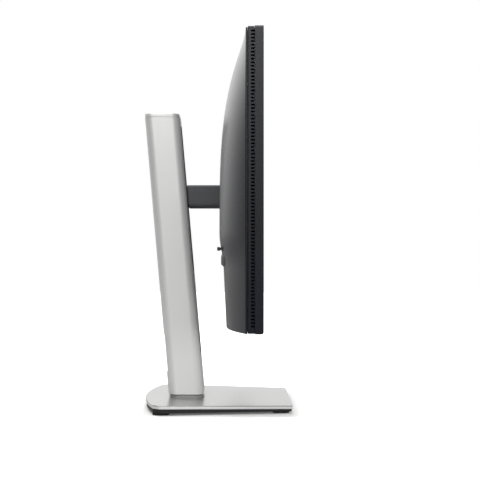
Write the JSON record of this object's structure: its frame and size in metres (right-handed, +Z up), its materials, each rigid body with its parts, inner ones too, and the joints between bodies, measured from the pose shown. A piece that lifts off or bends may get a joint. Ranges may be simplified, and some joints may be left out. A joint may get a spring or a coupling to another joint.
{
  "type": "computer monitor",
  "caption": "Flat computer monitor with a crowned dark back on a silver stand: leaning column, lift, tilt, pivot and swivel, thumb joystick and buttons behind.",
  "frame": {"origin": "on the desk, at the centre of the box around the whole monitor seen from above", "axes": "+X to the viewer's right, +Y behind the screen, +Z up; the screen faces -Y"},
  "size_m": [0.5378, 0.1793, 0.4236],
  "materials": {
    "satin_aluminium": "bead-blasted, clear satin",
    "dark_plastic": "fine-textured satin",
    "black_plastic": "matte moulded",
    "grey_plastic": "satin moulded",
    "warm_plastic": "satin moulded",
    "rubber": "matte",
    "steel": "plain rolled",
    "zinc": "as cast",
    "screen_glass": "anti-glare, dark when off",
    "clear_acrylic": "polished",
    "white_film": "diffusing",
    "circuit_board": "solder resist"
  },
  "bodies": {
    "base": {"base_plate": "satin_aluminium", "base_underlay": "black_plastic", "foot_front_left": "rubber", "foot_front_right": "rubber", "foot_rear_left": "rubber", "foot_rear_right": "rubber", "swivel_plinth": "satin_aluminium", "swivel_washer": "black_plastic"},
    "base_screw": {"base_screw": "steel"},
    "screw_ring": {"screw_ring": "steel"},
    "column": {"column_shell": "satin_aluminium", "column_cap": "satin_aluminium", "column_foot": "zinc", "rear_trim": "satin_aluminium", "guide_rod_left": "steel", "guide_rod_right": "steel", "cable_ring": "black_plastic", "spring_ribbon": "steel"},
    "carriage": {"carriage_block": "zinc", "arm": "grey_plastic", "spring_axle": "steel", "glide_pad_left": "black_plastic", "glide_pad_right": "black_plastic"},
    "spring_coil": {"spring_coil": "steel"},
    "tilt_head": {"tilt_bracket": "zinc", "tilt_shaft": "steel", "hinge_cover": "black_plastic", "pivot_shaft": "steel", "pivot_washer": "black_plastic"},
    "head": {"attach_plate": "black_plastic", "front_frame": "dark_plastic", "middle_frame": "dark_plastic", "bottom_bezel": "dark_plastic", "lcd_glass": "screen_glass", "film_stack": "white_film", "light_guide": "clear_acrylic", "led_bar": "circuit_board", "reflector_sheet": "white_film", "back_pan": "steel", "chassis_plate": "steel", "rear_cover": "dark_plastic", "main_board": "circuit_board", "heat_sink": "zinc", "power_board": "circuit_board", "transformer": "black_plastic", "mount_bracket": "steel", "port_recess": "black_plastic", "mains_inlet": "black_plastic", "video_port_a": "steel", "video_port_b": "steel", "data_port_square": "steel", "data_port_flat": "steel", "audio_jack": "steel"},
    "joystick_plunger": {"joystick_plunger": "black_plastic"},
    "joystick_gimbal": {"joystick_gimbal": "black_plastic"},
    "joystick_cap": {"joystick_cap": "dark_plastic"},
    "power_button": {"power_button": "warm_plastic"},
    "release_button": {"release_button": "grey_plastic"},
    "release_latch": {"release_latch": "steel"}
  },
  "joints": [
    {"name": "swivel", "type": "hinge", "parent": "base", "child": "column", "pos_m": [0, 0.03829, 0.0159], "axis": [0, 0, 1], "range_deg": [-45, 45]},
    {"name": "height", "type": "slide", "parent": "column", "child": "carriage", "axis": [0, 0.0872, 0.9962], "range_m": [-0.077, 0.073], "deforming": ["spring_ribbon"]},
    {"name": "spring_coil_turn", "type": "hinge", "parent": "carriage", "child": "spring_coil", "pos_m": [0, 0.05532, 0.222], "axis": [1, 0, 0], "range_deg": [-350, 370]},
    {"name": "tilt", "type": "hinge", "parent": "carriage", "child": "tilt_head", "pos_m": [0, -0.0094, 0.2595], "axis": [-1, 0, 0], "range_deg": [-5, 21]},
    {"name": "pivot", "type": "hinge", "parent": "tilt_head", "child": "head", "pos_m": [0, -0.0208, 0.2595], "axis": [0, 1, 0], "range_deg": [-7, 27]},
    {"name": "joystick_press", "type": "slide", "parent": "head", "child": "joystick_plunger", "axis": [0, -1, 0], "range_m": [0, 0.0008], "stiffness_N_per_m": 1200},
    {"name": "joystick_tilt_up_down", "type": "hinge", "parent": "joystick_plunger", "child": "joystick_gimbal", "pos_m": [-0.19, -0.013, 0.196], "axis": [1, 0, 0], "range_deg": [-8, 8], "stiffness_Nm_per_rad": 0.08},
    {"name": "joystick_tilt_left_right", "type": "hinge", "parent": "joystick_gimbal", "child": "joystick_cap", "pos_m": [-0.19, -0.013, 0.196], "axis": [0, 0, 1], "range_deg": [-8, 8], "stiffness_Nm_per_rad": 0.08},
    {"name": "power_button_press", "type": "slide", "parent": "head", "child": "power_button", "axis": [0, -1, 0], "range_m": [0, 0.0015], "stiffness_N_per_m": 1000},
    {"name": "release_button_press", "type": "slide", "parent": "head", "child": "release_button", "axis": [0, -1, 0], "range_m": [0, 0.0025], "stiffness_N_per_m": 1500},
    {"name": "release_latch_slide", "type": "slide", "parent": "head", "child": "release_latch", "axis": [0, 0, -1], "range_m": [0, 0.0045]},
    {"name": "base_screw_turn", "type": "hinge", "parent": "base", "child": "base_screw", "pos_m": [0, 0.03829, 0.0028], "axis": [0, 0, 1], "continuous": true},
    {"name": "screw_ring_fold", "type": "hinge", "parent": "base_screw", "child": "screw_ring", "pos_m": [0, 0.03829, 0.0022], "axis": [1, 0, 0], "range_deg": [0, 90]}
  ],
  "couplings": [
    {"joint": "spring_coil_turn", "follows": "height", "rad_per_m": -83.333},
    {"joint": "release_latch_slide", "follows": "release_button_press", "ratio": 1.8}
  ]
}
